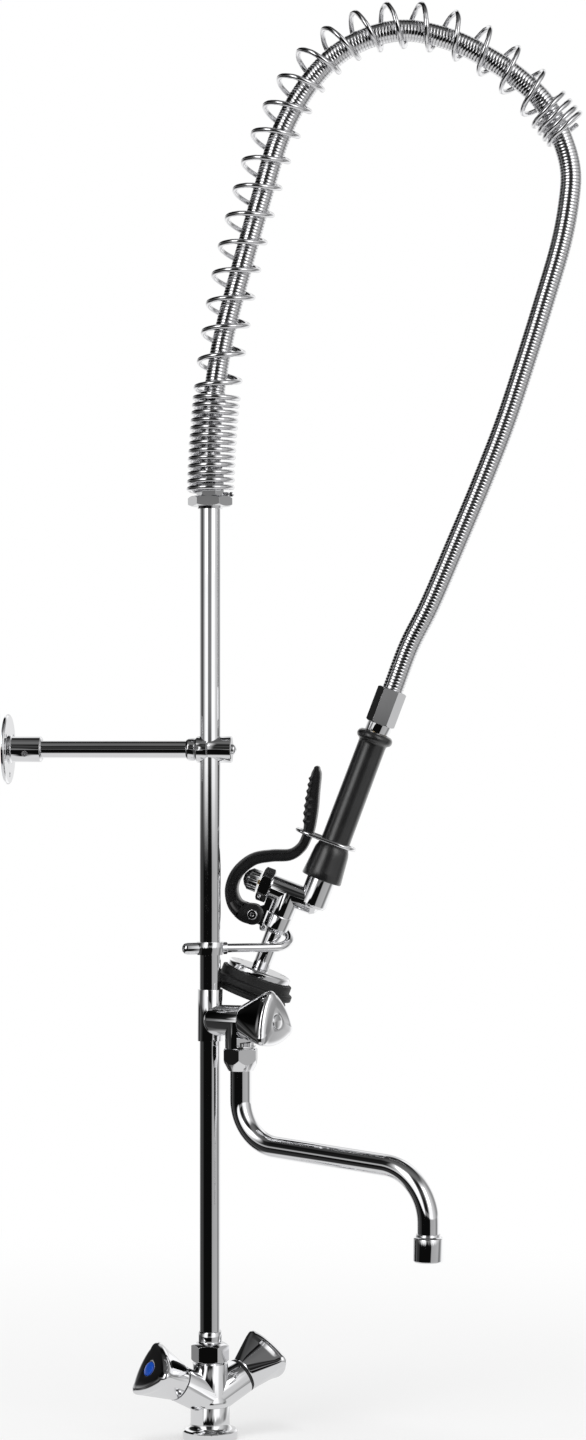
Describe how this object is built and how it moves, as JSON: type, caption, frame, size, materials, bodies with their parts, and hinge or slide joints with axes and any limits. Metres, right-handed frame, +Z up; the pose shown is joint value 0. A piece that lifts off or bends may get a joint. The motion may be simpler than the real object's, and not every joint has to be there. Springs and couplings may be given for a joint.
{
  "type": "commercial kitchen faucet",
  "caption": "Deck-mounted pre-rinse kitchen faucet: two-tap mixer base, tall riser with wall stay, mid tap with swing spout, sprung hose arch and a hooked spray gun.",
  "frame": {"origin": "centre of the base's underside, on the riser's axis, at deck level", "axes": "+Z up the riser, -X towards the wall behind the stay, +X the way the hose arch leans"},
  "size_m": [0.4901, 0.1847, 1.2206],
  "materials": {
    "chrome": "polished chrome plate on brass",
    "stainless_steel": "bright stainless steel",
    "brass": "bare machined brass",
    "black_rubber": "matt black rubber",
    "black_plastic": "satin black moulded plastic",
    "blue_plastic": "glossy blue plastic",
    "red_plastic": "glossy red plastic"
  },
  "bodies": {
    "column": {"base_body": "chrome", "base_gasket": "black_rubber", "column_nut": "chrome", "column_collar": "chrome", "lower_riser": "chrome", "riser_seals": "black_rubber", "tap_cartridges": "brass", "tap_seal_rings": "black_rubber", "tee_body": "chrome", "upper_riser": "chrome", "spout_nut": "chrome", "spout_seals": "black_rubber", "spring_seat_nut": "chrome"},
    "cold_tap": {"cold_handle": "chrome", "cold_index": "blue_plastic", "cold_handle_screw": "stainless_steel", "cold_spindle": "brass"},
    "hot_tap": {"hot_handle": "chrome", "hot_index": "red_plastic", "hot_handle_screw": "stainless_steel", "hot_spindle": "brass"},
    "mid_tap": {"mid_handle": "chrome", "mid_index": "chrome", "mid_handle_screw": "stainless_steel", "mid_spindle": "brass"},
    "spout": {"spout_tube": "chrome", "aerator_housing": "chrome", "aerator_insert": "black_plastic"},
    "stay": {"stay_arm": "chrome", "stay_ferrule": "chrome", "clamp_body": "chrome", "clamp_cap": "chrome", "clamp_bolt": "stainless_steel", "clamp_grub_screw": "stainless_steel"},
    "wall_plate": {"wall_flange": "chrome", "wall_socket": "chrome", "socket_grub_screw": "stainless_steel"},
    "arch": {"arch_spring": "stainless_steel", "hose_swivel_nut": "chrome", "hose_guide_collar": "chrome", "spray_hose": "stainless_steel", "grip_hose_nut": "chrome", "grip_tube": "brass", "rubber_grip": "black_rubber", "valve_body": "chrome", "bonnet_nut": "chrome", "spray_neck": "chrome", "spray_plate": "chrome", "plate_screws": "stainless_steel", "spray_face": "stainless_steel", "rubber_bumper": "black_rubber", "lever_bolt": "stainless_steel", "return_spring": "stainless_steel", "hook": "chrome", "hook_grub_screw": "stainless_steel"},
    "lever": {"spray_lever": "black_plastic"},
    "button": {"push_button": "chrome", "valve_stem": "brass"},
    "hold_ring": {"hold_ring": "chrome"}
  },
  "joints": [
    {"name": "cold_tap_turn", "type": "hinge", "parent": "column", "child": "cold_tap", "pos_m": [0, 0, 0.0335], "axis": [-0.7084, -0.5338, 0.4617], "range_deg": [0, 90]},
    {"name": "hot_tap_turn", "type": "hinge", "parent": "column", "child": "hot_tap", "pos_m": [0, 0, 0.0335], "axis": [0.7084, 0.5338, 0.4617], "range_deg": [0, 90]},
    {"name": "mid_tap_turn", "type": "hinge", "parent": "column", "child": "mid_tap", "pos_m": [0, 0, 0.355], "axis": [0.8657, -0.4998, 0.0262], "range_deg": [0, 90]},
    {"name": "spout_swing", "type": "hinge", "parent": "column", "child": "spout", "pos_m": [0.02771, -0.016, 0.3], "axis": [0, 0, 1], "range_deg": [-125, 125]},
    {"name": "stay_height", "type": "slide", "parent": "column", "child": "stay", "axis": [0, 0, 1], "range_m": [-0.06, 0.06]},
    {"name": "stay_reach", "type": "slide", "parent": "stay", "child": "wall_plate", "axis": [1, 0, 0], "range_m": [-0.005, 0.01]},
    {"name": "arch_turn", "type": "hinge", "parent": "column", "child": "arch", "pos_m": [0, 0, 0.8], "axis": [0, 0, 1], "range_deg": [0, 90]},
    {"name": "lever_squeeze", "type": "hinge", "parent": "arch", "child": "lever", "pos_m": [0.034, 0.02834, 0.44374], "axis": [0, 1, 0], "range_deg": [0, 3.5], "stiffness_Nm_per_rad": 6, "springref_deg": -2.86},
    {"name": "button_press", "type": "slide", "parent": "arch", "child": "button", "axis": [0.9354, 0, -0.3535], "range_m": [0, 0.0017], "stiffness_N_per_m": 300},
    {"name": "hold_ring_tilt", "type": "hinge", "parent": "arch", "child": "hold_ring", "pos_m": [0.10445, 0.02834, 0.50542], "axis": [0, 1, 0], "range_deg": [-4, 3]}
  ],
  "couplings": [
    {"joint": "button_press", "follows": "lever_squeeze", "m_per_rad": 0.026}
  ]
}
